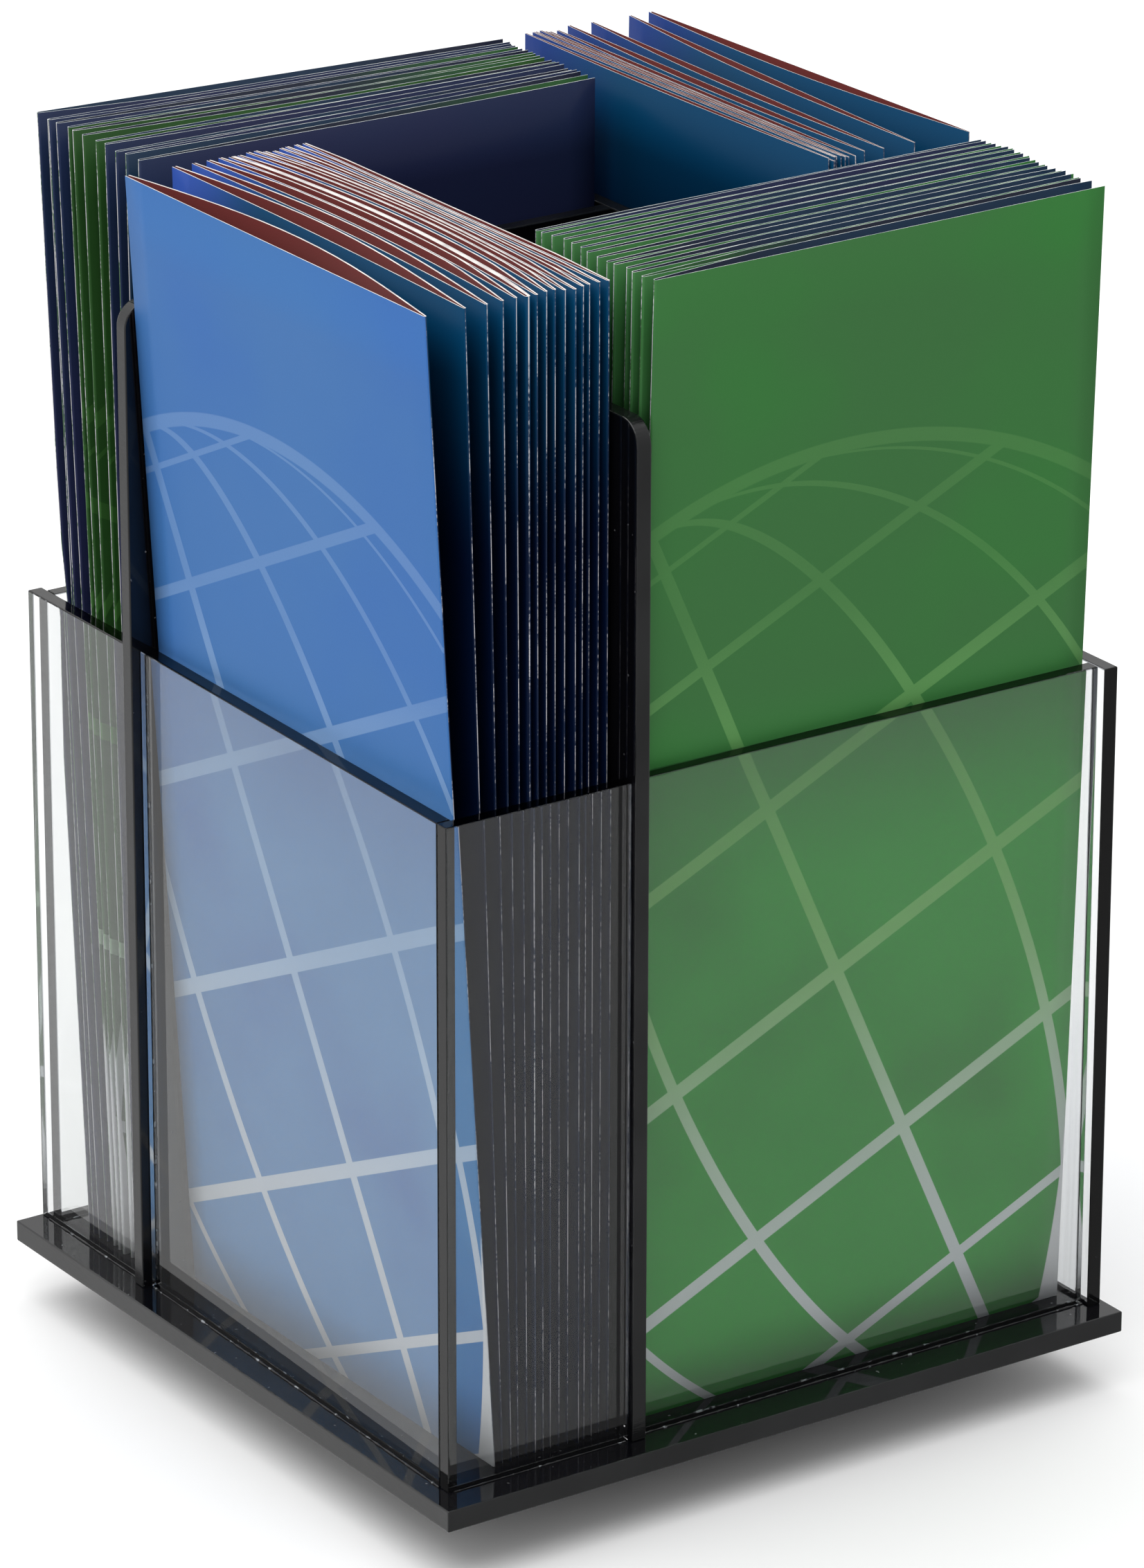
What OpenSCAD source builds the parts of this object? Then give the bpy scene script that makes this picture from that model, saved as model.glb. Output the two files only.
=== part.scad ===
// Revolving counter-top brochure holder: four tall pockets in a pinwheel round an
// open well, on a square base plate that turns on a hidden ball-bearing foot.
// Millimetres, +Z up. The origin is the middle of the resting plane under the foot.

/* [Base plate] */
// Side of the square base plate
plate_w = 157; // [154:0.5:170]
// Thickness of the base plate
plate_t = 4.3; // [4:0.1:6]

/* [Panels] */
// Sheet thickness of the dividers, pocket faces and pocket sides
sheet_t = 3.1; // [2.8:0.1:3.2]
// Height of the black dividers above the base plate
divider_h = 202; // [180:1:215]
// Radius of each divider's outer top corner
divider_corner_r = 5; // [2:0.5:10]
// Height of the clear pocket faces and sides
face_h = 132.7; // [110:0.1:133]
// How far dividers and sides stand out past the pocket faces
overhang = 2; // [0.5:0.1:2]

/* [Pockets: front, right, rear, left] */
// Side of the open square well in the middle
well_w = 66.5; // [65:0.5:67]
// Offset of the well's middle from the middle of the plate
well_shift = [2.75, 3.75];
// Clear width of each pocket
pocket_w = [104.5, 104, 105.5, 106];
// Clear depth of each pocket, from divider to face
pocket_d = [35.5, 34, 33, 35.5];
// Extra depth at the outer end of each pocket, whose face then stands askew
face_skew = [0, 0, 0, 2];

/* [Brochures: front, right, rear, left] */
// Width of a folded brochure
brochure_w = 102; // [98:0.5:102]
// Height of a brochure
brochure_h = 228; // [210:0.5:230]
// Closed thickness of a brochure
brochure_t = 1.4; // [1.2:0.1:1.4]
// Number of brochures behind the lead one in each pocket
stack_count = [13, 11, 11, 14];
// Distance of the lead brochure's foot from the divider
lead_foot = [31.5, 29, 26.6, 27.6];
// Distance of the lead brochure's top from the divider
lead_top = [37.6, 33.5, 36.2, 39.8];
// Distance of the stack's front brochure's foot from the divider
stack_foot = [29.4, 22, 24.4, 25.6];
// Distance of the stack's front brochure's top from the divider
stack_top = [34.2, 22, 31.4, 32.4];
// Gap between a brochure and the pocket's left wall
brochure_gap = [1, 0.6, 0.8, 0.8];
// Whether the folded edge is at the left wall
spine_at_left = [true, true, false, false];

/* [Foot and bearing] */
// Diameter of the foot disc
foot_d = 100; // [98:1:104]
// Thickness of the foot disc
foot_t = 3.1; // [3:0.1:4]
// Diameter of a rubber pad
pad_d = 12; // [8:0.5:14]
// Height of a rubber pad
pad_h = 1.5; // [1:0.1:3]
// Radius of the circle that the pads stand on
pad_circle_r = 41; // [38:0.5:43]
// Side of the square bearing plates
bearing_w = 76; // [74:0.5:76]
// Thickness of the bearing plates' sheet
bearing_sheet_t = 1; // [0.8:0.1:1.2]
// Height of the whole bearing
bearing_h = 7.4; // [7.2:0.1:9]
// Corner radius of the bearing plates
bearing_corner_r = 10; // [8:0.5:12]
// Distance between the screws of one plate
screw_spacing = 62; // [61:0.5:63]
// Diameter of a bearing ball
ball_d = 4; // [3.5:0.1:4]
// Radius of the circle that the balls run on
ball_circle_r = 29; // [27:0.5:30]
// Number of balls
ball_count = 24; // [12:1:36]
// Outer radius of the eyelet that ties the bearing together
eyelet_r = 10; // [9:0.5:11]

/* [Hidden] */

FRONT = 0;
RIGHT = 1;
REAR = 2;
LEFT = 3;

// Heights of the layers, from the table up
foot_z = pad_h;
bearing_z = foot_z + foot_t;
plate_z = bearing_z + bearing_h;
deck_z = plate_z + plate_t;

// Bearing: two plates with a raised race each, and balls in a groove between them
race_half_w = 5;
race_h = 2;
groove_clearance = 0.1;
running_clearance = 0.08;
ball_z = bearing_z + bearing_h / 2;
eyelet_wall = 1;
eyelet_flange = 2.5;

// Screws and nuts
screw_d = 4;
screw_head_d = 7;
screw_head_h = 1.6;
nut_w = 7;
nut_h = 2.2;
base_screw_depth = 2.5;
screw_hole_clearance = 0.2;

paper_gap = 0.4;

black = [0.04, 0.045, 0.07];
clear = [0.85, 0.88, 0.9, 0.35];
steel = [0.72, 0.73, 0.75];
rubber = [0.12, 0.12, 0.12];
blue = [0.29, 0.5, 0.78];
green = [0.24, 0.45, 0.24];
brochure_colour = [green, blue, green, blue];

$fn = 64;

// ---------- helpers ----------

// A square sheet with round corners, centred on the axis
module round_square(width, corner_r) {
    inner = width - 2 * corner_r;
    square([width, inner], center = true);
    square([inner, width], center = true);
    for (x = [-1, 1], y = [-1, 1])
        translate([x * inner / 2, y * inner / 2])
            circle(r = corner_r);
}

// Copies on the corners of the screw square
module at_screws() {
    for (x = [-1, 1], y = [-1, 1])
        translate([x * screw_spacing / 2, y * screw_spacing / 2, 0])
            children();
}

// The frame of one pocket: X along its width from the left wall, Y into the object
// from the divider's outer face (the pocket itself is at negative Y), Z from the deck
module in_pocket(i) {
    translate([well_shift.x, well_shift.y, deck_z])
        rotate([0, 0, 90 * i])
            translate([-well_w / 2, -well_w / 2 - sheet_t, 0])
                children();
}

// ---------- foot and bearing ----------

module foot_disc() {
    color(black)
        difference() {
            translate([0, 0, foot_z])
                cylinder(d = foot_d, h = foot_t);
            at_screws() {
                translate([0, 0, foot_z - 1])
                    cylinder(d = screw_d + screw_hole_clearance, h = foot_t + 2);
                translate([0, 0, foot_z - 1])
                    cylinder(d = screw_head_d + screw_hole_clearance, h = screw_head_h + 1);
            }
        }
}

module foot_pads() {
    color(rubber)
        for (a = [0 : 90 : 270])
            rotate([0, 0, a])
                translate([pad_circle_r, 0, 0])
                    cylinder(d = pad_d, h = pad_h);
}

module foot_screws() {
    color(steel)
        at_screws() {
            translate([0, 0, foot_z])
                cylinder(d = screw_head_d, h = screw_head_h);
            translate([0, 0, foot_z])
                cylinder(d = screw_d, h = foot_t + bearing_sheet_t + nut_h);
        }
}

module foot_nuts() {
    color(steel)
        at_screws()
            translate([0, 0, bearing_z + bearing_sheet_t])
                difference() {
                    cylinder(d = nut_w / cos(30), h = nut_h, $fn = 6);
                    translate([0, 0, -1])
                        cylinder(d = screw_d, h = nut_h + 2);
                }
}

// One bearing plate, lying with its flat side down on the plane z = 0
module bearing_plate() {
    difference() {
        union() {
            linear_extrude(bearing_sheet_t)
                round_square(bearing_w, bearing_corner_r);
            rotate_extrude()
                translate([ball_circle_r - race_half_w, 0])
                    square([2 * race_half_w, bearing_sheet_t + race_h]);
        }
        translate([0, 0, -1])
            cylinder(r = eyelet_r + running_clearance, h = bearing_h);
        translate([0, 0, bearing_h / 2])
            rotate_extrude()
                translate([ball_circle_r, 0])
                    circle(r = ball_d / 2 + groove_clearance);
        at_screws()
            translate([0, 0, -1])
                cylinder(d = screw_d + screw_hole_clearance, h = bearing_sheet_t + 2);
    }
}

module lower_bearing_plate() {
    color(steel)
        translate([0, 0, bearing_z])
            bearing_plate();
}

module upper_bearing_plate() {
    color(steel)
        translate([0, 0, plate_z])
            mirror([0, 0, 1])
                bearing_plate();
}

// The eyelet is fast in the lower plate; its flange keeps the upper plate down
module bearing_eyelet() {
    flange_h = 0.8;
    flange_z = plate_z - bearing_sheet_t - flange_h - 0.2;
    color(steel)
        difference() {
            union() {
                translate([0, 0, bearing_z + 0.2])
                    cylinder(r = eyelet_r, h = bearing_h - 0.6);
                translate([0, 0, bearing_z + bearing_sheet_t])
                    cylinder(r = eyelet_r + eyelet_flange, h = flange_h);
                translate([0, 0, flange_z])
                    cylinder(r = eyelet_r + eyelet_flange, h = flange_h);
            }
            translate([0, 0, bearing_z - 1])
                cylinder(r = eyelet_r - eyelet_wall, h = bearing_h + 2);
        }
}

module bearing_balls() {
    color(steel)
        for (k = [0 : ball_count - 1])
            rotate([0, 0, k * 360 / ball_count])
                translate([ball_circle_r, 0, ball_z])
                    sphere(d = ball_d, $fn = 32);
}

// ---------- base plate ----------

module base_screws() {
    color(steel)
        at_screws() {
            translate([0, 0, plate_z - bearing_sheet_t - screw_head_h])
                cylinder(d = screw_head_d, h = screw_head_h);
            translate([0, 0, plate_z - bearing_sheet_t - 0.5])
                cylinder(d = screw_d, h = bearing_sheet_t + base_screw_depth + 0.5);
        }
}

module base_plate() {
    color(black)
        difference() {
            translate([-plate_w / 2, -plate_w / 2, plate_z])
                cube([plate_w, plate_w, plate_t]);
            at_screws()
                translate([0, 0, plate_z - 1])
                    cylinder(d = screw_d, h = base_screw_depth + 1);
        }
}

// ---------- panels ----------

// Length of the divider behind pocket i, which is also the left wall of the next pocket
function divider_length(i) = well_w + 2 * sheet_t + pocket_d[(i + 1) % 4] + overhang;

// A divider: the back of pocket i, with its outer top corner rounded
module divider(i) {
    length = divider_length(i);
    r = divider_corner_r;
    color(black)
        in_pocket(i)
            translate([0, sheet_t, 0])
                rotate([90, 0, 0])
                    linear_extrude(sheet_t) {
                        square([length - r, divider_h]);
                        square([length, divider_h - r]);
                        translate([length - r, divider_h - r])
                            circle(r = r);
                    }
}

// The clear face of pocket i, between the left divider and the side
module pocket_face(i) {
    d = pocket_d[i];
    w = pocket_w[i];
    skew = face_skew[i];
    color(clear)
        in_pocket(i)
            linear_extrude(face_h)
                polygon([[0, -d], [0, -d - sheet_t], [w, -d - skew - sheet_t], [w, -d - skew]]);
}

// The clear side of pocket i, at its right-hand end
module pocket_side(i) {
    reach = pocket_d[i] + sheet_t + max(overhang * (face_skew[i] > 0 ? 0 : 1), face_skew[i]);
    color(clear)
        in_pocket(i)
            translate([pocket_w[i], -reach, 0])
                cube([sheet_t, reach, face_h]);
}

// ---------- brochures ----------

// A closed brochure seen from above: its leaves lie together, with the fold at X = 0
module folded_outline() {
    fold_r = brochure_t / 2;
    translate([fold_r, fold_r])
        circle(r = fold_r);
    translate([fold_r, 0])
        square([brochure_w - fold_r, brochure_t]);
}

// One brochure in pocket i, whose front stands foot from the divider and leans outward
// so that its top is top from the divider
module brochure(i, foot, top) {
    lean = asin((top - foot) / brochure_h);
    in_pocket(i)
        translate([brochure_gap[i], -foot, 0])
            rotate([lean, 0, 0])
                translate([spine_at_left[i] ? 0 : brochure_w, 0, 0])
                    mirror([spine_at_left[i] ? 0 : 1, 0, 0])
                        linear_extrude(brochure_h)
                            folded_outline();
}

module lead_brochure(i) {
    color(brochure_colour[i])
        brochure(i, lead_foot[i], lead_top[i]);
}

// The brochures behind the lead one: upright at the divider, leaning more towards the front
module brochure_stack(i) {
    last = stack_count[i] - 1;
    rear = brochure_t + paper_gap;
    color(brochure_colour[i])
        for (k = [0 : last])
            brochure(i,
                     rear + (stack_foot[i] - rear) * k / last,
                     rear + (stack_top[i] - rear) * k / last);
}

foot_disc();
foot_pads();
foot_screws();
foot_nuts();
lower_bearing_plate();
bearing_eyelet();
bearing_balls();
upper_bearing_plate();
base_screws();
base_plate();
divider(FRONT);  // front_divider
divider(RIGHT);  // right_divider
divider(REAR);  // rear_divider
divider(LEFT);  // left_divider
pocket_face(FRONT);  // front_pocket_face
pocket_face(RIGHT);  // right_pocket_face
pocket_face(REAR);  // rear_pocket_face
pocket_face(LEFT);  // left_pocket_face
pocket_side(FRONT);  // front_pocket_side
pocket_side(RIGHT);  // right_pocket_side
pocket_side(REAR);  // rear_pocket_side
pocket_side(LEFT);  // left_pocket_side
lead_brochure(FRONT);  // front_lead_brochure
lead_brochure(RIGHT);  // right_lead_brochure
lead_brochure(REAR);  // rear_lead_brochure
lead_brochure(LEFT);  // left_lead_brochure
brochure_stack(FRONT);  // front_brochure_stack
brochure_stack(RIGHT);  // right_brochure_stack
brochure_stack(REAR);  // rear_brochure_stack
brochure_stack(LEFT);  // left_brochure_stack
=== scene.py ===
# Looks for the revolving counter-top brochure holder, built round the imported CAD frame.
# Metres, +Z up. The black and clear acrylic sheets are bevelled slabs with thin beads of
# cement along their joints, and every brochure is one printed sheet folded once.
import functools
import math
import random

import bmesh
import bpy
from mathutils import Matrix, Vector


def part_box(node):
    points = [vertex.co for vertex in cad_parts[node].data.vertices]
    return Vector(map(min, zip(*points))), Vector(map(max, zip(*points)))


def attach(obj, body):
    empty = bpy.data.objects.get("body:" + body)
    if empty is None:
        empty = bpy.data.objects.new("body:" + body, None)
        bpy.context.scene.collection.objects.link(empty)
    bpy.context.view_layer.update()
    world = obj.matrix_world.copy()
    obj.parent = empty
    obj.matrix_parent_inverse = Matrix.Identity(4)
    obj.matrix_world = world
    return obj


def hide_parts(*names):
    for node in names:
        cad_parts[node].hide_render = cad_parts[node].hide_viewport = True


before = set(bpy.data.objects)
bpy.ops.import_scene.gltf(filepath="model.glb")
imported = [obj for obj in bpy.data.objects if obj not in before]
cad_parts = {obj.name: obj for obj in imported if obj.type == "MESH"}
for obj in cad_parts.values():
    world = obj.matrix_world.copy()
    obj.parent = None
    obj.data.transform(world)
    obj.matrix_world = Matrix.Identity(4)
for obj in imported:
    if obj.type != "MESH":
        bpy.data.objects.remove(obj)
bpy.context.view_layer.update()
MM = 0.001

# ---------- sizes ----------

POCKETS = ("front", "right", "rear", "left")
BLUE_POCKETS = ("right", "left")
DECK_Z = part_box("base_plate")[1].z
COVER_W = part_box("front_lead_brochure")[1].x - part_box("front_lead_brochure")[0].x

# Acrylic sheets and the gap between two of them
BEVEL = 0.25 * MM
CORNER_R = 5 * MM
JOINT_GAP = 0.04 * MM

# Beads of cement
BEAD_R = 0.26 * MM
THIN_BEAD_R = 0.24 * MM
BEAD_STEP = 1.1 * MM
BEAD_SIDES = 6

# Steps of a brochure's mesh along a leaf, round the fold and up the height
LEAF_STEPS = 16
FOLD_STEPS = 14
ROWS = 16

# Room round the brochures, and how far their tops may lean out above the pocket's face, for
# each share of their height that is above it
FOOT_RISE = 0.1 * MM
DIVIDER_GAP = 0.1 * MM
STACK_GAP = 0.12 * MM
FACE_GAP = 0.25 * MM
LEAN_OUT = 50 * MM

# Brochures: where the front of the innermost one stands, the least hollow inside a fold,
# half the width of the worn stripe on its crest, the leaf that is a thick bundle, and the
# gape of the one by the well
FIRST_FRONT = 1.3 * MM
LEAST_HOLLOW = 0.02 * MM
WORN_HALF_W = 0.1 * MM
BUNDLE_T = 0.85 * MM
WELL_GAPE = 2.0

# How each pocket's brochures stand, with lengths in mm. Brochures are counted from 0, and
# a little chance is added to each one.
#   count   brochures in the stack behind the lead one
#   lead    how much further out than its CAD solid the lead brochure's top stands, at the
#           fold and at the free edge
#   stack   the same for the front of the stack
#   loose   0 where the tops fan out evenly, nearer 1 where only the front ones lean out, and
#           below 0 where the back ones do so sooner
#   start   how far out from its foot the top of the innermost brochure stands
#   lens    how far a brochure bows open in the middle of its top
#   gape    how far its free edges stand apart there, as a share of lens
#   sag     how far the tops in the middle of the stack sink in
#   leaves  thickness of the front and the back leaf
#   loft    hollow between the leaves where they are closed
#   bundle  the brochure with a thick back leaf, counted from the divider
#   turned  the brochures that stand back to front, counted from the front of the stack
HABITS = {
    "front": dict(
        count=13, lead=(1.6, 0.6), stack=(1.6, -0.6), loose=0.0, start=0.0, lens=3.2,
        gape=0.85, sag=0.0, leaves=(0.1, 0.12), loft=0.65, bundle=None, turned=(),
    ),
    "right": dict(
        count=11, lead=(0.4, -2.4), stack=(-0.6, 4.4), loose=0.66, start=0.0, lens=3.0,
        gape=0.12, sag=0.0, leaves=(0.09, 0.11), loft=0.1, bundle=None, turned=(),
    ),
    "rear": dict(
        count=11, lead=(4.2, -3.2), stack=(4.3, -1.8), loose=-0.2, start=2.2, lens=3.0,
        gape=0.6, sag=0.0, leaves=(0.11, 0.13), loft=0.65, bundle=None, turned=(3, 4, 5, 6),
    ),
    "left": dict(
        count=14, lead=(0.8, 0.7), stack=(0.0, -2.0), loose=0.22, start=0.0, lens=5.2,
        gape=0.08, sag=3.0, leaves=(0.18, 0.34), loft=0.1, bundle=9, turned=(),
    ),
}


def srgb(red, green, blue):
    """A colour from its 8-bit display values."""
    def linear(value):
        value /= 255
        return value / 12.92 if value <= 0.04045 else ((value + 0.055) / 1.055) ** 2.4
    return (linear(red), linear(green), linear(blue), 1)


# ---------- materials ----------

class Material:
    """A node material; its calls return sockets, and any input takes a socket or a value."""

    def __init__(self, name):
        self.data = bpy.data.materials.new(name)
        self.data.use_nodes = True
        self.tree = self.data.node_tree
        self.shader = self.tree.nodes["Principled BSDF"]
        self.place = None

    def plug(self, value, socket):
        if isinstance(value, bpy.types.NodeSocket):
            self.tree.links.new(value, socket)
        else:
            socket.default_value = value

    def set(self, **inputs):
        """Shader inputs, with spaces in their names written as underscores."""
        for name, value in inputs.items():
            self.plug(value, self.shader.inputs[name.replace("_", " ")])

    def node(self, kind, values=(), **settings):
        made = self.tree.nodes.new(kind)
        for name, value in settings.items():
            setattr(made, name, value)
        for key, value in dict(values).items():
            self.plug(value, made.inputs[key])
        return made

    def math(self, operation, *values):
        return self.node("ShaderNodeMath", enumerate(values), operation=operation).outputs[0]

    def object_place(self):
        """The point in the object's own space."""
        if self.place is None:
            self.place = self.node("ShaderNodeTexCoord").outputs["Object"]
        return self.place

    def flat_place(self):
        """The point on the flattened brochure, x across the cover and y up it."""
        return self.node("ShaderNodeUVMap").outputs[0]

    def parted(self, place):
        """The x and the y of a point."""
        return self.node("ShaderNodeSeparateXYZ", {0: place}).outputs[:2]

    def stretched(self, place, scale):
        return self.node("ShaderNodeMapping", {"Vector": place, "Scale": scale}).outputs[0]

    def noise(self, place, scale, detail=2.0):
        made = self.node("ShaderNodeTexNoise", {"Vector": place, "Scale": scale, "Detail": detail})
        return made.outputs["Fac"]

    def ramp(self, value, start, end, low=0.0, high=1.0):
        """Smooth change from low, where value is start, to high, where it is end."""
        values = {"Value": value, "From Min": start, "From Max": end, "To Min": low, "To Max": high}
        return self.node("ShaderNodeMapRange", values, interpolation_type="SMOOTHSTEP").outputs[0]

    def mix(self, share, first, second):
        values = {0: share, 6: first, 7: second}
        return self.node("ShaderNodeMix", values, data_type="RGBA").outputs[2]

    def bump(self, height, strength, distance):
        values = {"Height": height, "Strength": strength, "Distance": distance}
        self.set(Normal=self.node("ShaderNodeBump", values).outputs[0])


def black_acrylic():
    """Polished black sheet with a faint unevenness and a few specks of dust."""
    m = Material("black_acrylic")
    place = m.object_place()
    dust = m.ramp(m.noise(place, 900, 1), 0.765, 0.80)
    m.set(Base_Color=m.mix(dust, srgb(8, 8, 11), srgb(92, 92, 94)), IOR=1.49)
    m.set(Roughness=m.ramp(m.noise(place, 60, 3), 0.3, 0.8, 0.02, 0.06))
    m.bump(m.noise(place, 35, 2), 0.04, 0.002)
    return m.data


def black_edge():
    """Machined edge of the black sheet: satin, with fine cutter marks across it."""
    m = Material("black_acrylic_edge")
    place = m.object_place()
    marks = m.noise(m.stretched(place, (1, 1, 9)), 420, 2)
    tone = m.ramp(m.noise(place, 45, 3), 0.3, 0.75)
    m.set(Base_Color=m.mix(tone, srgb(14, 15, 16), srgb(26, 27, 28)), IOR=1.49)
    m.set(Roughness=m.ramp(marks, 0.3, 0.7, 0.1, 0.24))
    m.bump(marks, 0.12, 0.0006)
    return m.data


def clear_sheet(name, roughness, tint, wave):
    """Clear acrylic that refracts what is seen through it and lets lamps through."""
    m = Material(name)
    place = m.object_place()
    haze = m.mix(m.ramp(m.noise(place, 22, 3), 0.45, 0.75), tint, (0.84, 0.85, 0.86, 1))
    m.set(Base_Color=haze, IOR=1.49, Transmission_Weight=1.0, Roughness=roughness)
    m.set(Specular_Tint=(0.7, 0.7, 0.7, 1))
    m.bump(m.noise(place, 16, 1), wave, 0.001)
    see_through = m.node("ShaderNodeBsdfTransparent", {"Color": (0.93, 0.94, 0.94, 1)})
    shadow_ray = m.node("ShaderNodeLightPath").outputs["Is Shadow Ray"]
    shares = {0: shadow_ray, 1: m.shader.outputs[0], 2: see_through.outputs[0]}
    mixed = m.node("ShaderNodeMixShader", shares)
    m.plug(mixed.outputs[0], m.tree.nodes["Material Output"].inputs["Surface"])
    return m.data


def glue():
    """Solvent cement squeezed out of a joint, dark with whitish bubbles."""
    m = Material("cement")
    bubbles = m.ramp(m.noise(m.object_place(), 420, 2), 0.60, 0.70)
    m.set(Base_Color=m.mix(bubbles, srgb(10, 11, 14), srgb(150, 154, 158)))
    m.set(Roughness=0.12, IOR=1.49)
    return m.data


def paper_edge(name, bright, dull):
    """Cut edge of the paper, a little uneven in tone."""
    m = Material(name)
    place = m.object_place()
    tone = m.ramp(m.noise(place, 240, 3), 0.35, 0.7)
    m.set(Base_Color=m.mix(tone, bright, dull), Roughness=0.75)
    m.bump(m.noise(place, 2500, 2), 0.2, 0.0002)
    return m.data


# The globe printed on the covers: its middle and radius, how far its axis leans and the
# angle between its lines, which are close to the photographed covers' own
GLOBE_X = 45 * MM
GLOBE_Y = 83 * MM
GLOBE_R = 105 * MM
GLOBE_TURN = math.radians(25)
GLOBE_STEP = math.radians(22.5)

# Half the width of its lines of latitude, its meridians and its rim, and their soft edges
PARALLEL_HALF_W = 1.45 * MM
MERIDIAN_HALF_W = 1.15 * MM
RIM_HALF_W = 1.2 * MM
SOFT_LINE = 0.2 * MM
SOFT_RIM = 0.3 * MM


def globe_lines(m, x, y):
    """How much of a printed line of latitude or longitude covers the point, 0 to 1."""
    px = m.math("MULTIPLY_ADD", x, 1 / GLOBE_R, -GLOBE_X / GLOBE_R)
    py = m.math("MULTIPLY_ADD", y, 1 / GLOBE_R, -GLOBE_Y / GLOBE_R)
    square = m.math("ADD", m.math("MULTIPLY", px, px), m.math("MULTIPLY", py, py))
    pz = m.math("SQRT", m.math("MAXIMUM", m.math("SUBTRACT", 1.0, square), 0.0))
    cosine, sine = math.cos(GLOBE_TURN), math.sin(GLOBE_TURN)
    east = m.math("MULTIPLY_ADD", px, cosine, m.math("MULTIPLY", py, sine))
    north = m.math("MULTIPLY_ADD", py, cosine, m.math("MULTIPLY", px, -sine))
    latitude = m.math("ARCSINE", north)
    longitude = m.math("ARCTAN2", east, pz)
    ring = m.math("COSINE", latitude)
    across = m.math("MULTIPLY", m.math("PINGPONG", latitude, GLOBE_STEP / 2), GLOBE_R)
    parallel = m.ramp(across, PARALLEL_HALF_W, PARALLEL_HALF_W + SOFT_LINE, 1.0, 0.0)
    along = m.math("MULTIPLY", m.math("PINGPONG", longitude, GLOBE_STEP / 2), GLOBE_R)
    along = m.math("MULTIPLY", along, ring)
    meridian = m.ramp(along, MERIDIAN_HALF_W, MERIDIAN_HALF_W + SOFT_LINE, 1.0, 0.0)
    off_rim = m.math("ABSOLUTE", m.math("SUBTRACT", m.math("SQRT", square), 1.0))
    rim = m.ramp(off_rim, RIM_HALF_W / GLOBE_R, (RIM_HALF_W + SOFT_RIM) / GLOBE_R, 1.0, 0.0)
    inside = m.math("LESS_THAN", square, 1.0)
    grid = m.math("MULTIPLY", m.math("MAXIMUM", parallel, meridian), inside)
    return m.math("MAXIMUM", grid, rim)


# Heights on a cover between which its ground changes from the lower colour, painted brighter as
# painted light where the clear face stands in front of it, to the upper one, its lines fade and
# whiten, and its white corner ends, and that corner's curve: the height it bends away from, and how
# fast
LIT_GROUND_HEIGHTS = (98 * MM, 146 * MM)
LINES_FADE = (35 * MM, 190 * MM)
LINES_WHITEN = (10 * MM, 100 * MM)
WHITE_END = (42 * MM, 50 * MM)
WHITE_TOP = 45 * MM
WHITE_BEND = 2.4
WHITE_INSET = 0.5 * MM


def printed_cover(name, upper, lower, shade, line, line_top):
    """Coated cover with a cloudy ground, painted brighter low down as painted light where the clear
    face stands in front of it, a globe grid that gets paler towards the foot, and a curved white
    corner at the right of the foot."""
    m = Material(name)
    uv = m.flat_place()
    x, y = m.parted(uv)
    cloud = m.noise(uv, 14, 3)
    # Painted light: the lower ground is brighter where the clear face stands in front of the cover
    ground = m.mix(m.ramp(y, *LIT_GROUND_HEIGHTS), lower, upper)
    ground = m.mix(m.ramp(cloud, 0.42, 0.72, 0.0, 0.75), ground, shade)
    strength = m.math("MAXIMUM", m.ramp(y, *LINES_FADE, 0.94, 0.0), line_top)
    pale = m.mix(m.ramp(y, *LINES_WHITEN), srgb(214, 218, 222), line)
    ground = m.mix(m.math("MULTIPLY", globe_lines(m, x, y), strength), ground, pale)
    drop = m.math("SUBTRACT", y, WHITE_TOP)
    bend = m.math("MULTIPLY", drop, drop)
    curve = m.math("MULTIPLY_ADD", bend, -WHITE_BEND, COVER_W - WHITE_INSET)
    corner = m.ramp(m.math("SUBTRACT", x, curve), 0.0, 0.3 * MM)
    corner = m.math("MULTIPLY", corner, m.ramp(y, *WHITE_END, 1.0, 0.0))
    ground = m.mix(corner, ground, srgb(226, 228, 230))
    grain = m.noise(uv, 2600, 1)
    m.set(Base_Color=m.mix(m.math("MULTIPLY", grain, 0.07), ground, srgb(20, 30, 60)))
    m.set(Roughness=m.ramp(cloud, 0.3, 0.7, 0.4, 0.5), IOR=1.5, Specular_IOR_Level=0.12)
    m.bump(grain, 0.04, 0.0002)
    return m.data


def painted_shade_print(name, free_x, bright):
    """Outside of a blue brochure: bright blue along the free edge and, towards the fold, painted
    shade of the gaps in the stack, teal at the top and navy lower down."""
    m = Material(name)
    uv = m.flat_place()
    x, y = m.parted(uv)
    from_edge = m.math("ABSOLUTE", m.math("SUBTRACT", x, free_x))
    cloud = m.noise(uv, 12, 3)
    reach = m.math("MULTIPLY_ADD", cloud, 20 * MM, from_edge)
    # Painted shade of the gaps between brochures: navy low down, teal near the top where more light
    # gets in
    gap_shade = m.mix(m.ramp(y, 176 * MM, 236 * MM), srgb(2, 14, 42), srgb(0, 62, 98))
    tone = m.mix(m.ramp(reach, 10 * MM, 46 * MM), bright, gap_shade)
    grain = m.noise(uv, 2600, 1)
    m.set(Base_Color=m.mix(m.math("MULTIPLY", grain, 0.05), tone, srgb(30, 60, 90)))
    m.set(Roughness=m.ramp(cloud, 0.3, 0.7, 0.36, 0.46), IOR=1.5, Specular_IOR_Level=0.06)
    m.bump(grain, 0.05, 0.0002)
    return m.data


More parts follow.
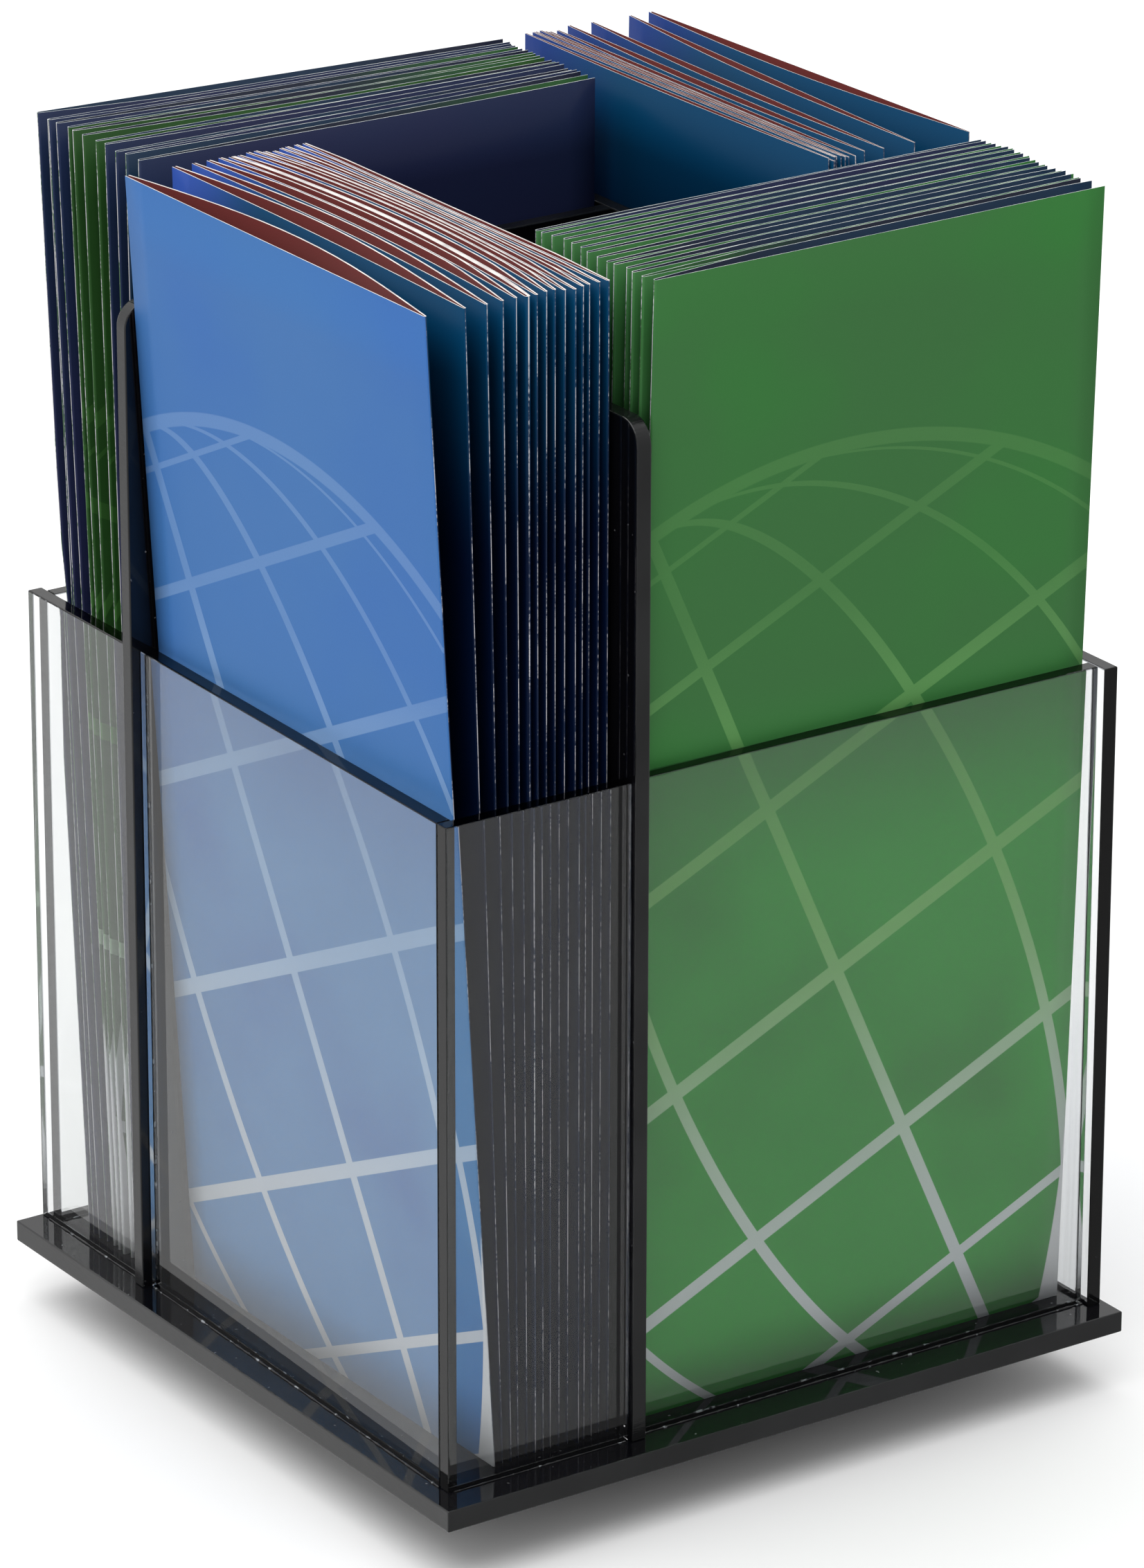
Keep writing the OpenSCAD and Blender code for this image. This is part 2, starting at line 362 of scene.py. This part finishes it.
def plain_print(name, tone, second):
    """A page printed in one ink, a little cloudy, with a fine screen."""
    m = Material(name)
    uv = m.flat_place()
    cloud = m.ramp(m.noise(uv, 11, 3), 0.35, 0.7)
    grain = m.noise(uv, 2600, 1)
    ink = m.mix(cloud, tone, second)
    m.set(Base_Color=m.mix(m.math("MULTIPLY", grain, 0.03), ink, srgb(90, 90, 100)))
    m.set(Roughness=m.ramp(cloud, 0.0, 1.0, 0.3, 0.4), IOR=1.5, Specular_IOR_Level=0.1)
    m.bump(grain, 0.05, 0.0002)
    return m.data


def shaded_page(name, near, far):
    """Inside page whose colour changes across it, from the cover's left edge to its right."""
    m = Material(name)
    uv = m.flat_place()
    x = m.parted(uv)[0]
    cloud = m.noise(uv, 30, 3)
    reach = m.math("MULTIPLY_ADD", cloud, 30 * MM, x)
    m.set(Base_Color=m.mix(m.ramp(reach, 22 * MM, 62 * MM), near, far))
    m.set(Roughness=m.ramp(cloud, 0.3, 0.7, 0.35, 0.5), IOR=1.5, Specular_IOR_Level=0.2)
    m.bump(m.noise(uv, 2600, 1), 0.05, 0.0002)
    return m.data


def worn_fold(name, ink, wear):
    """The crest of a fold, where the print has cracked off the paper in short stretches."""
    m = Material(name)
    place = m.object_place()
    long_wear = m.noise(m.stretched(place, (1, 1, 0.16)), 420, 4)
    chips = m.noise(place, 1500, 2)
    worn = m.ramp(m.math("MULTIPLY_ADD", chips, 0.5, long_wear), 0.9 - wear, 1.1 - wear)
    m.set(Base_Color=m.mix(worn, ink, srgb(186, 184, 188)), Roughness=0.6)
    m.bump(worn, 0.3, 0.0003)
    return m.data


def metal(name, tone, second, roughness):
    """Bare or plated metal, a little blotchy and uneven in gloss."""
    m = Material(name)
    place = m.object_place()
    m.set(Base_Color=m.mix(m.noise(place, 130, 3), tone, second), Metallic=1.0)
    m.set(Roughness=m.ramp(m.noise(place, 320, 3), 0.3, 0.7, roughness, roughness + 0.15))
    m.bump(m.noise(place, 900, 2), 0.06, 0.0004)
    return m.data


def rubber():
    """Matt black rubber with a fine grain."""
    m = Material("rubber")
    place = m.object_place()
    tone = m.noise(place, 300, 3)
    m.set(Base_Color=m.mix(tone, srgb(26, 26, 27), srgb(44, 44, 45)), Roughness=0.8)
    m.bump(m.noise(place, 1800, 3), 0.3, 0.0004)
    return m.data


BLACK = black_acrylic()
BLACK_EDGE = black_edge()
CLEAR = clear_sheet("clear_acrylic", 0.0, (0.88, 0.89, 0.89, 1), 0.01)
# Painted shade: the cut edges of the clear sheets are tinted dark grey, standing in for the dark look
# of the edges
SHADED_CLEAR_EDGE = clear_sheet("clear_acrylic_edge_painted_shade", 0.05, (0.17, 0.18, 0.2, 1), 0.1)
CEMENT = glue()
WHITE_EDGE = paper_edge("white_paper_edge", srgb(222, 216, 212), srgb(190, 184, 182))
INKED_EDGE = paper_edge("inked_paper_edge", srgb(228, 232, 230), srgb(176, 184, 190))
STEEL = metal("steel", srgb(176, 178, 182), srgb(140, 142, 147), 0.2)
ZINC = metal("zinc_plated", srgb(168, 170, 174), srgb(128, 131, 136), 0.32)
RUBBER = rubber()


def blue_inks(side, free_x, bright):
    """Inks of the blue brochures. free_x is where the free edge lies across the cover, and bright is
    the blue there, darker for the right pocket as painted shade.
    """
    return dict(
        front=painted_shade_print("blue_outside_" + side, free_x, bright),
        back=painted_shade_print("blue_back_" + side, free_x, bright),
        inner_front=plain_print("maroon_page_" + side, srgb(92, 20, 15), srgb(80, 17, 14)),
        inner_back=plain_print("maroon_lining_" + side, srgb(92, 20, 15), srgb(84, 19, 15)),
        fold=worn_fold("blue_fold_" + side, srgb(10, 34, 66), 0.22),
    )


BLUE_COVER = printed_cover(
    "blue_cover",
    upper=srgb(58, 107, 166),
    lower=srgb(84, 138, 190),
    shade=srgb(54, 102, 170),
    line=srgb(176, 204, 232),
    line_top=0.14,
)
GREEN_COVER = printed_cover(
    "green_cover",
    upper=srgb(56, 108, 57),
    lower=srgb(54, 154, 60),
    shade=srgb(50, 118, 52),
    line=srgb(138, 194, 116),
    line_top=0.09,
)
# Painted shade: a darker copy of the green cover for the rear pocket's brochures, which stand in
# shade
PAINTED_SHADE_GREEN_COVER = printed_cover(
    "painted_shade_green_cover",
    upper=srgb(40, 80, 32),
    lower=srgb(44, 88, 38),
    shade=srgb(34, 70, 28),
    line=srgb(90, 150, 70),
    line_top=0.14,
)
GREEN_INKS = dict(
    front=GREEN_COVER,
    back=plain_print("navy_back", srgb(33, 38, 70), srgb(26, 42, 72)),
    inner_front=shaded_page("green_page", srgb(34, 80, 38), srgb(18, 26, 46)),
    inner_back=shaded_page("navy_page", srgb(16, 22, 46), srgb(10, 40, 66)),
    fold=worn_fold("green_fold", srgb(58, 98, 46), 0.28),
)
INKS = dict(
    front=GREEN_INKS,
    # Painted shade: the right pocket's blue is a darker copy of the left pocket's
    right=blue_inks("right", COVER_W, srgb(28, 54, 122)),
    rear=dict(GREEN_INKS, front=PAINTED_SHADE_GREEN_COVER),
    left=blue_inks("left", 0.0, srgb(46, 78, 160)),
)


# ---------- pieces ----------

def finished_mesh(name, shape, materials):
    """Turns the bmesh into a mesh with these materials, and frees it."""
    mesh = bpy.data.meshes.new(name)
    shape.to_mesh(mesh)
    shape.free()
    for material in materials:
        mesh.materials.append(material)
    return mesh


def add_piece(name, mesh, body, replaced=()):
    """Links a mesh as a piece on its body, in place of the CAD nodes that it replaces."""
    piece = bpy.data.objects.new(name, mesh)
    bpy.context.scene.collection.objects.link(piece)
    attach(piece, body)
    if replaced:
        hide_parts(*replaced)


class Pocket:
    """A pocket's own frame: u along its width from the left wall, d outward from the
    divider's outer face, h up from the base plate."""

    def __init__(self, name):
        turn = math.radians(90 * POCKETS.index(name))
        self.name = name
        self.across = Vector((round(math.cos(turn)), round(math.sin(turn)), 0))
        self.inward = Vector((-self.across.y, self.across.x, 0))
        self.left = self.reach(name + "_pocket_face", self.across)[0]
        divider = self.reach(name + "_divider", self.inward)
        self.divider_face = divider[0]
        self.sheet_t = divider[1] - divider[0]

    def reach(self, node, axis):
        ends = [corner.dot(axis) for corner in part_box(node)]
        return min(ends), max(ends)

    def u_range(self, node):
        low, high = self.reach(node, self.across)
        return low - self.left, high - self.left

    def d_range(self, node):
        low, high = self.reach(node, self.inward)
        return self.divider_face - high, self.divider_face - low

    def height(self, node):
        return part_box(node)[1].z - DECK_Z

    def point(self, u, d, h):
        flat = self.across * (self.left + u) + self.inward * (self.divider_face - d)
        return flat + Vector((0, 0, DECK_Z + h))

    def ends(self, node):
        """The outermost d of a brochure node at its foot and at its top."""
        middle = (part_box(node)[0].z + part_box(node)[1].z) / 2
        low, high = [], []
        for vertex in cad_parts[node].data.vertices:
            side = low if vertex.co.z < middle else high
            side.append(self.divider_face - vertex.co.dot(self.inward))
        return max(low), max(high)


# ---------- sheets ----------

def sheet(name, outline, depth, placed, materials, node):
    """A bevelled slab: the outline in the plane of its broad faces, extruded by depth."""
    shape = bmesh.new()
    base = shape.faces.new([shape.verts.new((a, b, 0)) for a, b in outline])
    grown = bmesh.ops.extrude_face_region(shape, geom=[base])
    for item in grown["geom"]:
        if isinstance(item, bmesh.types.BMVert):
            item.co.z += depth
    bmesh.ops.recalc_face_normals(shape, faces=shape.faces)
    sharp = [e for e in shape.edges if e.calc_face_angle() > math.radians(40)]
    bmesh.ops.bevel(shape, geom=sharp, offset=BEVEL, segments=2, affect="EDGES", profile=0.5)
    bmesh.ops.recalc_face_normals(shape, faces=shape.faces)
    for face in shape.faces:
        face.material_index = 0 if abs(face.normal.z) > 0.99 else 1
    for vertex in shape.verts:
        vertex.co = placed(*vertex.co)
    if shape.calc_volume(signed=True) < 0:
        bmesh.ops.reverse_faces(shape, faces=shape.faces)
    add_piece(name, finished_mesh(name, shape, materials), "turntable", [node])


def rectangle(left, low, right, high):
    return [(left, low), (right, low), (right, high), (left, high)]


def rounded_corner(x, y, radius, steps=10):
    """Points of a quarter circle that ends at height y and starts at length x."""
    return [
        (x - radius + radius * math.cos(a), y - radius + radius * math.sin(a))
        for a in (math.pi / 2 * k / steps for k in range(steps + 1))
    ]


def base_plate():
    """The square plate that the dividers and the pockets stand on."""
    node = "base_plate"
    low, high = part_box(node)
    outline = rectangle(low.x, low.y, high.x, high.y)

    def placed(a, b, t):
        return Vector((a, b, low.z + t))

    sheet("plate", outline, high.z - low.z, placed, (BLACK, BLACK_EDGE), node)


def divider(pocket):
    """The black panel at the back of a pocket, with one rounded top corner."""
    name, node = pocket.name + "_partition", pocket.name + "_divider"
    start, end = pocket.u_range(node)
    top = pocket.height(node)
    outline = [(start, 0), (end, 0)] + rounded_corner(end, top, CORNER_R) + [(start, top)]

    def placed(a, b, t):
        return pocket.point(a, -t, b)

    sheet(name, outline, pocket.sheet_t, placed, (BLACK, BLACK_EDGE), node)


def pocket_face(pocket):
    """The clear face, whose right end may stand further out than its left end."""
    name, node = pocket.name + "_clear_face", pocket.name + "_pocket_face"
    start, end = pocket.u_range(node)
    inner, outer = pocket.d_range(node)
    skew = outer - inner - pocket.sheet_t
    outline = rectangle(start + JOINT_GAP, 0, end - JOINT_GAP, pocket.height(node))

    def placed(a, b, t):
        return pocket.point(a, inner + skew * a / end + t, b)

    sheet(name, outline, pocket.sheet_t, placed, (CLEAR, SHADED_CLEAR_EDGE), node)


def pocket_side(pocket):
    """The clear panel that closes the right end of a pocket."""
    name, node = pocket.name + "_clear_side", pocket.name + "_pocket_side"
    start = pocket.u_range(node)[0]
    inner, outer = pocket.d_range(node)
    outline = rectangle(inner + JOINT_GAP, 0, outer, pocket.height(node))

    def placed(a, b, t):
        return pocket.point(start + t, a, b)

    sheet(name, outline, pocket.sheet_t, placed, (CLEAR, SHADED_CLEAR_EDGE), node)


def lumpy_bead(shape, start, end, radius, dice):
    """A thin uneven bead of cement from start to end."""
    steps = max(12, int((end - start).length / BEAD_STEP))
    line = (end - start).normalized()
    side = line.orthogonal().normalized()
    other = line.cross(side)
    turns = [math.tau * n / BEAD_SIDES for n in range(BEAD_SIDES)]
    rings = []
    for k in range(steps + 1):
        size = radius * (0.45 + 0.75 * dice.random())
        middle = start.lerp(end, k / steps)
        ring = [middle + size * (math.cos(a) * side + math.sin(a) * other) for a in turns]
        rings.append([shape.verts.new(place) for place in ring])
    for one, two in zip(rings, rings[1:]):
        for n in range(BEAD_SIDES):
            face = shape.faces.new((one[n - 1], one[n], two[n], two[n - 1]))
            face.smooth = True
    shape.faces.new(rings[0])
    shape.faces.new(reversed(rings[-1]))


def cement(pocket):
    """Cement along the foot of the clear panels and up the joint with the left wall."""
    dice = random.Random(40 + POCKETS.index(pocket.name))
    node = pocket.name + "_pocket_face"
    start, end = pocket.u_range(node)
    inner, outer = pocket.d_range(node)
    top = pocket.height(node)
    skew = outer - inner - pocket.sheet_t
    side_out = pocket.u_range(pocket.name + "_pocket_side")[1]
    off = 0.1 * MM
    short = 1 * MM
    wall_u, wall_d = start + 0.15 * MM, inner - 0.15 * MM
    beads = (
        ((start + short, outer - skew + off, off), (end, outer + off, off), BEAD_R),
        ((start + short, inner - off, off), (end - short, inner + skew - off, off), BEAD_R),
        ((wall_u, wall_d, short), (wall_u, wall_d, top - short), THIN_BEAD_R),
        ((side_out + off, short, off), (side_out + off, outer - short, off), THIN_BEAD_R),
    )
    shape = bmesh.new()
    for foot, head, radius in beads:
        lumpy_bead(shape, pocket.point(*foot), pocket.point(*head), radius, dice)
    name = pocket.name + "_cement"
    add_piece(name, finished_mesh(name, shape, [CEMENT]), "turntable")


# ---------- brochures ----------

# A brochure's materials, by their index in its mesh: its sides, the paper's edge, the fold
SIDES = ("front", "back", "inner_front", "inner_back")
FRONT, BACK, INNER_FRONT, INNER_BACK, EDGE, FOLD = range(6)
COVER = dict(front=FRONT, back=BACK, inner_front=INNER_FRONT, inner_back=INNER_BACK, fold=FOLD)
TURNED = dict(front=BACK, back=FRONT, inner_front=INNER_BACK, inner_back=INNER_FRONT, fold=FOLD)
# The lining of a green brochure is drawn by chance from these
PAGES = (INNER_FRONT, INNER_BACK, INNER_BACK, INNER_BACK, BACK)


class Folded:
    """Where one folded sheet lies along its pocket. s runs from the fold, 0, to the free
    edge, 1."""

    def __init__(self, pocket, spine_left, left_u, width, height):
        self.pocket = pocket
        self.spine_left = spine_left
        self.left_u = left_u
        self.width = width
        self.height = height

    def u(self, s, sway):
        along = self.width * s
        return self.left_u + sway + (along if self.spine_left else self.width - along)


def outlines(place, front, back, leaves, h, sway):
    """The sheet's outer and inner outline at height h, as points (u, d) from the front's
    free edge round the fold to the back's free edge."""
    front_t, back_t = leaves
    radius = (front(0.0, h) - back(0.0, h)) / 2
    middle = (front(0.0, h) + back(0.0, h)) / 2
    away = -1 if place.spine_left else 1
    fold_u = place.u(0.0, sway) - away * radius
    outer, inner = [], []
    for k in range(LEAF_STEPS, 0, -1):
        s = k / LEAF_STEPS
        outer.append((place.u(s, sway), front(s, h)))
        inner.append((place.u(s, sway), front(s, h) - front_t))
    for k in range(FOLD_STEPS + 1):
        turn = math.pi * k / FOLD_STEPS
        out_u, out_d = math.sin(turn), math.cos(turn)
        paper = front_t + (back_t - front_t) * k / FOLD_STEPS
        hollow = max(radius - paper, LEAST_HOLLOW)
        outer.append((fold_u + away * radius * out_u, middle + radius * out_d))
        inner.append((fold_u + away * hollow * out_u, middle + hollow * out_d))
    for k in range(1, LEAF_STEPS + 1):
        s = k / LEAF_STEPS
        outer.append((place.u(s, sway), back(s, h)))
        inner.append((place.u(s, sway), back(s, h) + back_t))
    return outer, inner


def fold_sheet(shape, uv_layer, place, front, back, leaves, tilt, skin):
    """Adds one folded sheet to the mesh. front(s, h) and back(s, h) are the d of its outer
    surfaces, which the fold joins round a half circle. h runs from the foot, 0, to the top,
    1."""
    rows = []
    for row in range(ROWS + 1):
        h = row / ROWS
        height = FOOT_RISE + place.height * h

        def corner(u, d):
            return shape.verts.new(place.pocket.point(u, d, height)), u - place.left_u, height

        sides = outlines(place, front, back, leaves, h, tilt * (h - 0.5))
        rows.append([[corner(u, d) for u, d in side] for side in sides])
    columns = len(rows[0][0]) - 1
    crest = LEAF_STEPS + FOLD_STEPS / 2
    fold_step = math.pi / FOLD_STEPS * (front(0.0, 1.0) - back(0.0, 1.0)) / 2

    def quad(corners, material):
        face = shape.faces.new([vertex for vertex, _, _ in corners])
        face.material_index = material
        face.smooth = material != EDGE
        for loop, (_, x, y) in zip(face.loops, corners):
            loop[uv_layer].uv = (x, y)

    for low, high in zip(rows, rows[1:]):
        for k in range(columns):
            side = "front" if k < crest else "back"
            outside = "fold" if abs(k + 0.5 - crest) * fold_step < WORN_HALF_W else side
            quad((low[0][k], low[0][k + 1], high[0][k + 1], high[0][k]), skin[outside])
            quad((low[1][k + 1], low[1][k], high[1][k], high[1][k + 1]), skin["inner_" + side])
        quad((low[1][0], low[0][0], high[0][0], high[1][0]), EDGE)
        quad((low[0][-1], low[1][-1], high[1][-1], high[0][-1]), EDGE)
    for end in (rows[0], rows[-1]):
        for k in range(columns):
            quad((end[0][k], end[0][k + 1], end[1][k + 1], end[1][k]), EDGE)


def smooth(value):
    value = min(max(value, 0.0), 1.0)
    return value * value * (3 - 2 * value)


def add_brochure(shape, uv_layer, pocket, dice, stand, leaves, floor, wall, skin):
    """Adds one brochure and returns its front surface, which the next one has to clear.
    floor(s, h) is the front of the brochure behind it and wall(h) the inside of the
    pocket's face."""
    node = pocket.name + "_lead_brochure"
    foot, tops, lens, gape, sag = stand
    u_low, u_high = pocket.u_range(node)
    height = pocket.height(node) - dice.uniform(0.3, 0.9) * MM
    spine_left = pocket.name in ("front", "right")
    left_u = u_low + dice.uniform(-0.2, 1.0) * MM
    place = Folded(pocket, spine_left, left_u, u_high - u_low - 0.3 * MM, height)
    closed = sum(leaves) + HABITS[pocket.name]["loft"] * MM
    bow = lens * dice.uniform(0.8, 1.15)
    lean = dice.uniform(0.45, 0.52)
    gape *= lens * dice.uniform(0.6, 1.3)

    def swell(s, h):
        return math.sin(math.pi * s ** (0.5 / lean)) * h ** 1.7

    def line(s, h):
        flat = foot * (1 - h) + (tops[0] * (1 - s) + tops[1] * s) * h
        return min(flat - sag * swell(s, h), wall(h))

    @functools.cache
    def back(s, h):
        wanted = line(s, h) - closed - bow * swell(s, h) - gape * smooth(s) * h ** 2
        return max(wanted, floor(s, h) + STACK_GAP)

    @functools.cache
    def front(s, h):
        return max(line(s, h), back(s, h) + closed)

    tilt = dice.uniform(-0.5, 0.5) * MM
    fold_sheet(shape, uv_layer, place, front, back, leaves, tilt, skin)
    return front


def lead_stand(pocket):
    """How the lead brochure stands: the d of its front at the foot and at the top, there at
    the fold and at the free edge, and its lens, gape and sag."""
    habit = HABITS[pocket.name]
    foot, top = pocket.ends(pocket.name + "_lead_brochure")
    tops = [top + extra * MM for extra in habit["lead"]]
    return foot, tops, habit["lens"] * MM, habit["gape"], 0.0


def stack_stand(pocket, k):
    """The same for brochure k of the stack, counted from the divider."""
    habit = HABITS[pocket.name]
    node = pocket.name + "_brochure_stack"
    last_foot, last_top = pocket.ends(node)
    first = pocket.d_range(node)[0] + FIRST_FRONT
    start = first + habit["start"] * MM
    t = k / (habit["count"] - 1)
    fan = (1 - habit["loose"]) * t + habit["loose"] * t ** 7
    foot = first + (last_foot - first) * t
    tops = [start + (last_top + extra * MM - start) * fan for extra in habit["stack"]]
    lens = habit["lens"] * (0.35 + 0.4 * t ** 2) * MM
    gape = WELL_GAPE if pocket.name == "rear" and k == 0 else habit["gape"]
    sag = habit["sag"] * (1 - (2 * t - 1) ** 2 + 0.25 * t) * MM
    return foot, tops, lens, gape, sag


def brochure_skin(pocket, body, k, dice):
    """The material of each side. In the rear stack, the innermost brochure is lined with the
    green page, and the next one has the navy page on its back."""
    habit = HABITS[pocket.name]
    turned = body == "stack" and habit["count"] - 1 - k in habit["turned"]
    skin = dict(TURNED if turned else COVER)
    if pocket.name not in BLUE_POCKETS:
        skin["inner_front"] = skin["inner_back"] = dice.choice(PAGES)
    if pocket.name == "rear" and body == "stack" and k == 0:
        skin["inner_front"] = skin["inner_back"] = INNER_FRONT
    if pocket.name == "rear" and body == "stack" and k == 1:
        skin["back"] = INNER_BACK
    return skin


def paper_materials(pocket, body):
    """The materials of a brochure mesh, in the order of their indices."""
    blue = pocket.name in BLUE_POCKETS
    inks = dict(INKS[pocket.name])
    if blue and body == "lead_brochure":
        inks["front"] = BLUE_COVER
    return [inks[side] for side in SIDES] + [WHITE_EDGE if blue else INKED_EDGE, inks["fold"]]


def brochures(pocket):
    """The lead brochure and the stack behind it, set from the divider outward."""
    habit = HABITS[pocket.name]
    dice = random.Random(7 + POCKETS.index(pocket.name))
    lead_node, stack_node = pocket.name + "_lead_brochure", pocket.name + "_brochure_stack"
    face_node = pocket.name + "_pocket_face"
    wall_d = pocket.d_range(face_node)[0] - FACE_GAP
    face_h = pocket.height(face_node) / pocket.height(lead_node)

    def wall(h):
        return wall_d + max(0.0, h - face_h) * LEAN_OUT

    def floor(s, h):
        return DIVIDER_GAP

    for body, node, count in (("stack", stack_node, habit["count"]), ("lead_brochure", lead_node, 1)):
        shape = bmesh.new()
        uv_layer = shape.loops.layers.uv.new("print")
        for k in range(count):
            stand = stack_stand(pocket, k) if body == "stack" else lead_stand(pocket)
            skin = brochure_skin(pocket, body, k, dice)
            leaves = [thickness * MM for thickness in habit["leaves"]]
            if body == "stack" and k == habit["bundle"]:
                leaves[1] = BUNDLE_T
            floor = add_brochure(shape, uv_layer, pocket, dice, stand, leaves, floor, wall, skin)
        bmesh.ops.recalc_face_normals(shape, faces=shape.faces)
        name = pocket.name + "_" + body + "_paper"
        mesh = finished_mesh(name, shape, paper_materials(pocket, body))
        add_piece(name, mesh, pocket.name + "_" + body, [node])


# ---------- object ----------

base_plate()
for pocket in [Pocket(name) for name in POCKETS]:
    divider(pocket)
    pocket_face(pocket)
    pocket_side(pocket)
    cement(pocket)
    brochures(pocket)

# The foot and the bearing keep their CAD meshes and take these materials
CAD_LOOKS = {
    "foot_disc": BLACK,
    "foot_pads": RUBBER,
    "foot_screws": STEEL,
    "foot_nuts": STEEL,
    "lower_bearing_plate": ZINC,
    "upper_bearing_plate": ZINC,
    "bearing_eyelet": ZINC,
    "bearing_balls": STEEL,
    "base_screws": STEEL,
}
for node, material in CAD_LOOKS.items():
    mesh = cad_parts[node].data
    mesh.materials.clear()
    mesh.materials.append(material)


# ---------- studio ----------

FLOOR_HALF = 6.0

# A wide soft lamp above, and what it points at
KEY_PLACE = Vector((-0.45, -0.1, 3.0))
KEY_AIM = Vector((0, 0, 0.1))
KEY_SIZE = 4.4
KEY_WATTS = 74

# The light of the surroundings rises along this direction, over this range
BRIGHT_SIDE = (-0.6, 0.75, 0.6)
SKY_RISE = {"From Min": -1.1, "From Max": 1.0, "To Min": 0.42, "To Max": 1.1}

# The camera looks at this point from afar, and is then moved a little to the right and up
CAMERA_AIM = Vector((0, 0, 0.1105))
CAMERA_DISTANCE = 1.5576
CAMERA_RIGHT = 0.00165
CAMERA_UP = 0.00714
AZIMUTH = math.radians(-34.15)
ELEVATION = math.radians(21.29)
ROLL = math.radians(0.12)
SENSOR_HEIGHT = 36
FOCAL_LENGTH = 185.35
CLIP_END = 30


def floor_plane():
    """Plain pale floor, which doesn't show in the gloss of the object."""
    mesh = bpy.data.meshes.new("studio_floor")
    square = rectangle(-FLOOR_HALF, -FLOOR_HALF, FLOOR_HALF, FLOOR_HALF)
    mesh.from_pydata([(x, y, 0) for x, y in square], [], [(0, 1, 2, 3)])
    m = Material("studio_floor")
    tone = m.noise(m.object_place(), 3, 2)
    m.set(Base_Color=m.mix(tone, (0.94, 0.94, 0.94, 1), (0.90, 0.90, 0.90, 1)), Roughness=0.9)
    mesh.materials.append(m.data)
    plane = bpy.data.objects.new("studio_floor", mesh)
    bpy.context.scene.collection.objects.link(plane)
    plane.visible_glossy = False


def key_light():
    """The lamp shines through the clear sheets, but isn't seen through them."""
    lamp = bpy.data.lights.new("key", "AREA")
    lamp.shape = "DISK"
    lamp.size = KEY_SIZE
    lamp.energy = KEY_WATTS
    light = bpy.data.objects.new("key", lamp)
    light.location = KEY_PLACE
    light.rotation_euler = (KEY_AIM - KEY_PLACE).to_track_quat("-Z", "Y").to_euler()
    light.visible_transmission = False
    bpy.context.scene.collection.objects.link(light)


def world_light():
    """White to the camera; as light, brightest above and behind on the left, dim in front."""
    world = bpy.data.worlds.new("studio")
    world.use_nodes = True
    tree = world.node_tree
    direction = tree.nodes.new("ShaderNodeTexCoord").outputs["Generated"]
    facing = tree.nodes.new("ShaderNodeVectorMath")
    facing.operation = "DOT_PRODUCT"
    facing.inputs[1].default_value = BRIGHT_SIDE
    tree.links.new(direction, facing.inputs[0])
    rise = tree.nodes.new("ShaderNodeMapRange")
    for name, value in SKY_RISE.items():
        rise.inputs[name].default_value = value
    tree.links.new(facing.outputs["Value"], rise.inputs["Value"])
    seen = tree.nodes.new("ShaderNodeLightPath").outputs["Is Camera Ray"]
    strength = tree.nodes.new("ShaderNodeMath")
    strength.operation = "MAXIMUM"
    tree.links.new(seen, strength.inputs[0])
    tree.links.new(rise.outputs[0], strength.inputs[1])
    tree.links.new(strength.outputs[0], tree.nodes["Background"].inputs["Strength"])
    tree.nodes["Background"].inputs["Color"].default_value = (1, 1, 1, 1)
    bpy.context.scene.world = world


def camera():
    """The camera at the photo's angle, placed by its azimuth and elevation."""
    level = math.cos(ELEVATION)
    back = Vector((math.sin(AZIMUTH) * level, -math.cos(AZIMUTH) * level, math.sin(ELEVATION)))
    right = Vector((math.cos(AZIMUTH), math.sin(AZIMUTH), 0))
    up = back.cross(right)
    rolled_right = right * math.cos(ROLL) + up * math.sin(ROLL)
    rolled_up = up * math.cos(ROLL) - right * math.sin(ROLL)
    data = bpy.data.cameras.new("camera")
    data.sensor_fit = "VERTICAL"
    data.sensor_height = SENSOR_HEIGHT
    data.lens = FOCAL_LENGTH
    data.clip_end = CLIP_END
    view = bpy.data.objects.new("camera", data)
    place = CAMERA_AIM + right * CAMERA_RIGHT + up * CAMERA_UP + back * CAMERA_DISTANCE
    turned = Matrix((rolled_right, rolled_up, back)).transposed().to_4x4()
    view.matrix_world = Matrix.Translation(place) @ turned
    bpy.context.scene.collection.objects.link(view)
    bpy.context.scene.camera = view


world_light()
bpy.context.scene.view_settings.view_transform = "Standard"
key_light()
floor_plane()
camera()
